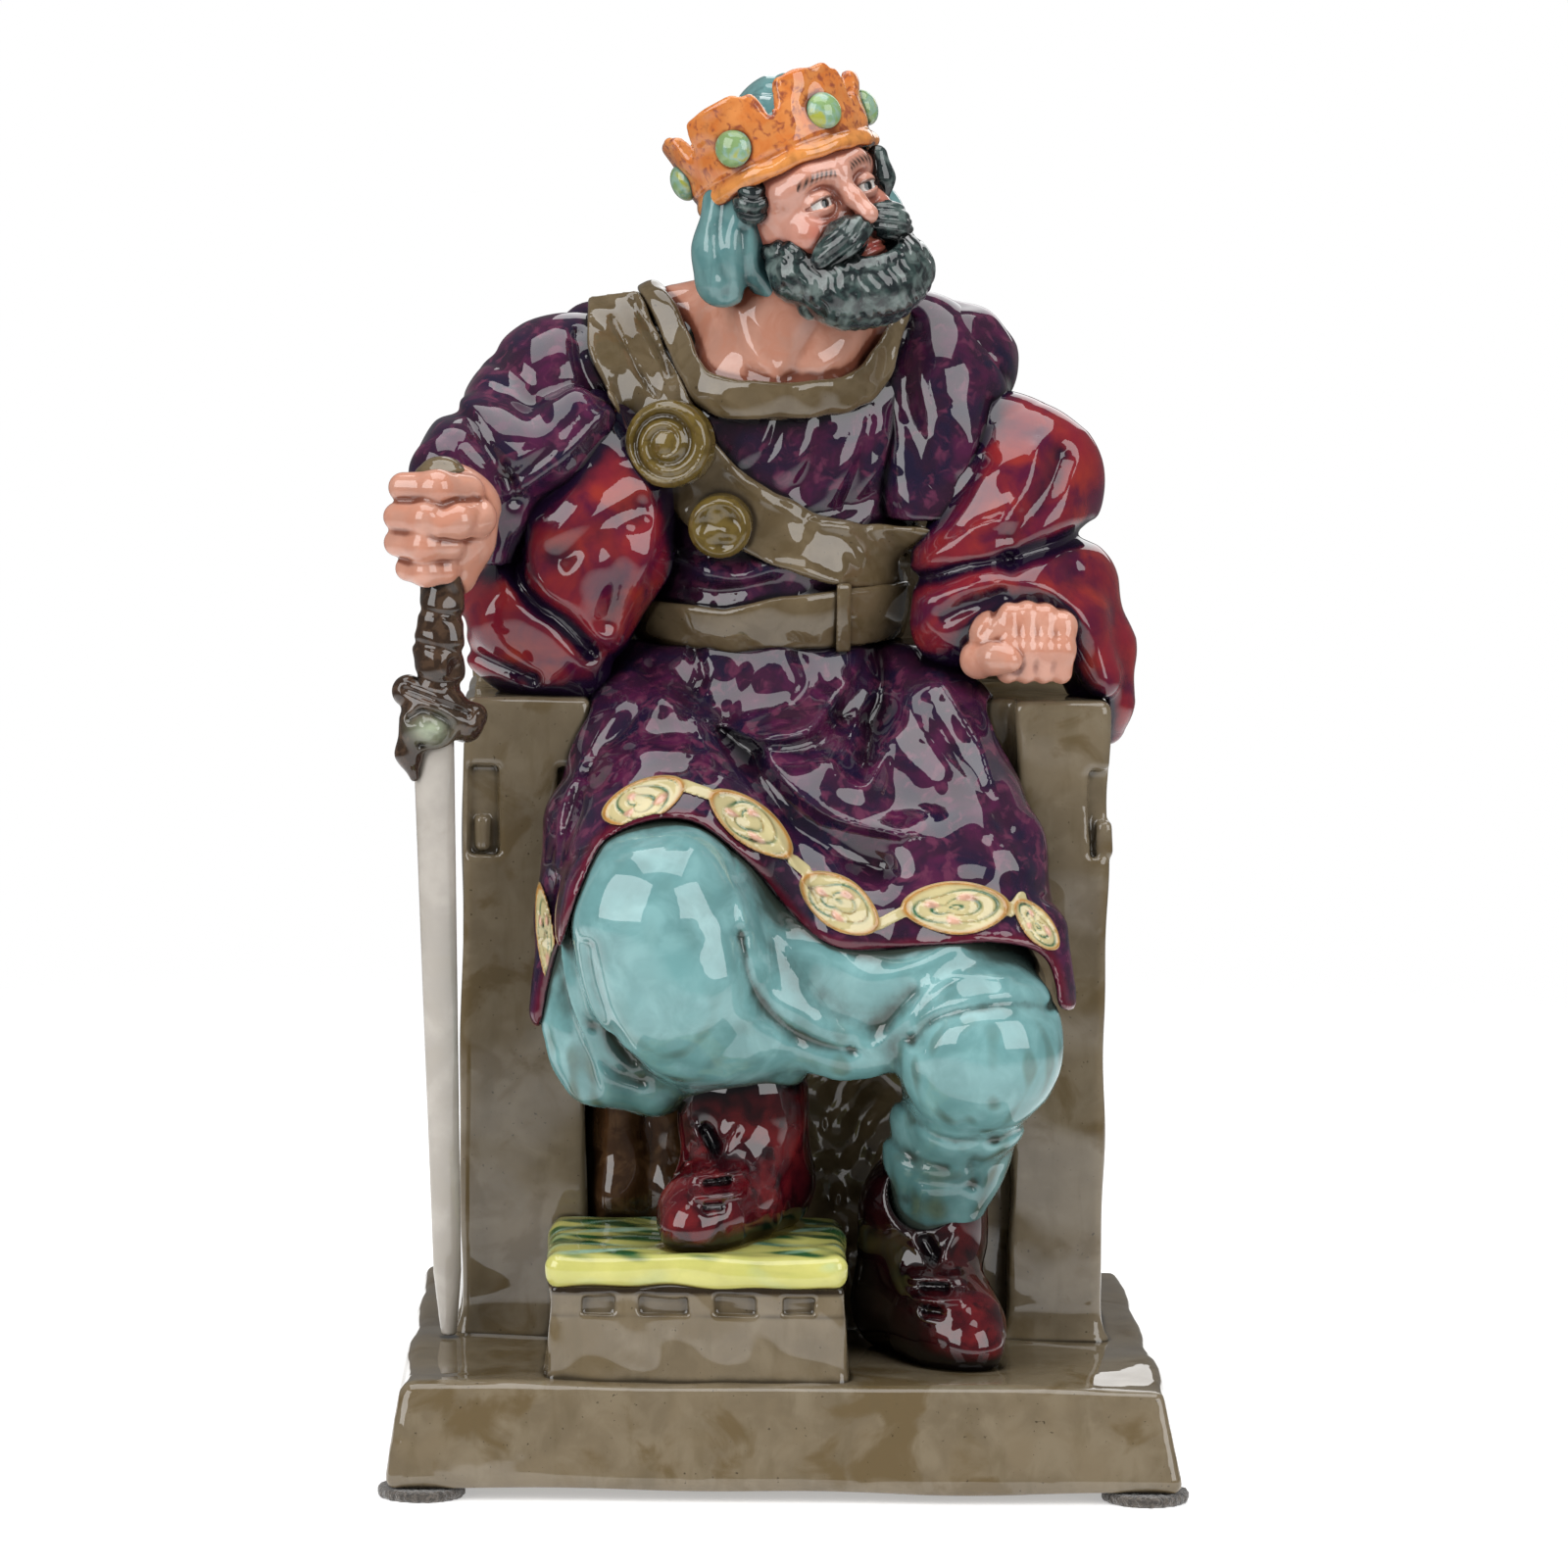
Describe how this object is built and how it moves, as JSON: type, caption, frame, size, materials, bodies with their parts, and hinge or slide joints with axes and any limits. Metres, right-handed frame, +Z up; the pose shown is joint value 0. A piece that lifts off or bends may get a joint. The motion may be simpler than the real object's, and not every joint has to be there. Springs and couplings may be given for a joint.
{
  "type": "seated king figurine",
  "caption": "Glazed china figurine of a crowned, bearded king seated on a stone throne, one foot on a footstool, hand on an upright sword.",
  "frame": {"origin": "centre of the footprint, on the surface the felt pads stand on", "axes": "+Z up, -Y to the front the figure faces, +X to the sitter's left"},
  "size_m": [0.1551, 0.143, 0.2741],
  "materials": {
    "stone_glaze": "glossy glaze",
    "aubergine_glaze": "glossy glaze",
    "crimson_glaze": "glossy glaze",
    "turquoise_glaze": "glossy glaze",
    "flesh_glaze": "glossy glaze",
    "orange_glaze": "glossy glaze",
    "teal_glaze": "glossy glaze",
    "hair_glaze": "glossy glaze",
    "jewel_glaze": "glossy glaze",
    "gold_olive_glaze": "glossy glaze",
    "yellow_glaze": "glossy glaze",
    "oxblood_glaze": "glossy glaze",
    "steel_grey_glaze": "glossy glaze",
    "brown_glaze": "glossy glaze",
    "medallion_glaze": "glossy glaze",
    "felt": "matt wool felt"
  },
  "bodies": {
    "root": {"baldric": "stone_glaze", "beard": "hair_glaze", "belt": "stone_glaze", "belt_tongue": "stone_glaze", "boot_laces": "oxblood_glaze", "collar": "stone_glaze", "crown": "orange_glaze", "crown_jewels": "jewel_glaze", "felt_pad_front_left": "felt", "felt_pad_front_right": "felt", "felt_pad_rear_left": "felt", "felt_pad_rear_right": "felt", "footstool": "stone_glaze", "footstool_cover": "yellow_glaze", "hair_locks": "hair_glaze", "head": "flesh_glaze", "hem_medallions": "medallion_glaze", "hood": "teal_glaze", "large_brooch": "gold_olive_glaze", "left_boot": "oxblood_glaze", "left_hand": "flesh_glaze", "left_oversleeve": "aubergine_glaze", "left_sleeve": "crimson_glaze", "left_trouser_leg": "turquoise_glaze", "moustache": "hair_glaze", "neck": "flesh_glaze", "plinth": "stone_glaze", "right_boot": "oxblood_glaze", "right_hand": "flesh_glaze", "right_oversleeve": "aubergine_glaze", "right_sleeve": "crimson_glaze", "right_trouser_leg": "turquoise_glaze", "seat_drape": "brown_glaze", "small_brooch": "gold_olive_glaze", "sword_blade": "steel_grey_glaze", "sword_crossguard": "brown_glaze", "sword_grip": "brown_glaze", "sword_pommel": "stone_glaze", "throne_back": "stone_glaze", "throne_left_arm": "stone_glaze", "throne_right_arm": "stone_glaze", "throne_seat": "stone_glaze", "trouser_drape": "turquoise_glaze", "tunic_body": "aubergine_glaze", "tunic_skirt": "aubergine_glaze"}
  },
  "joints": []
}
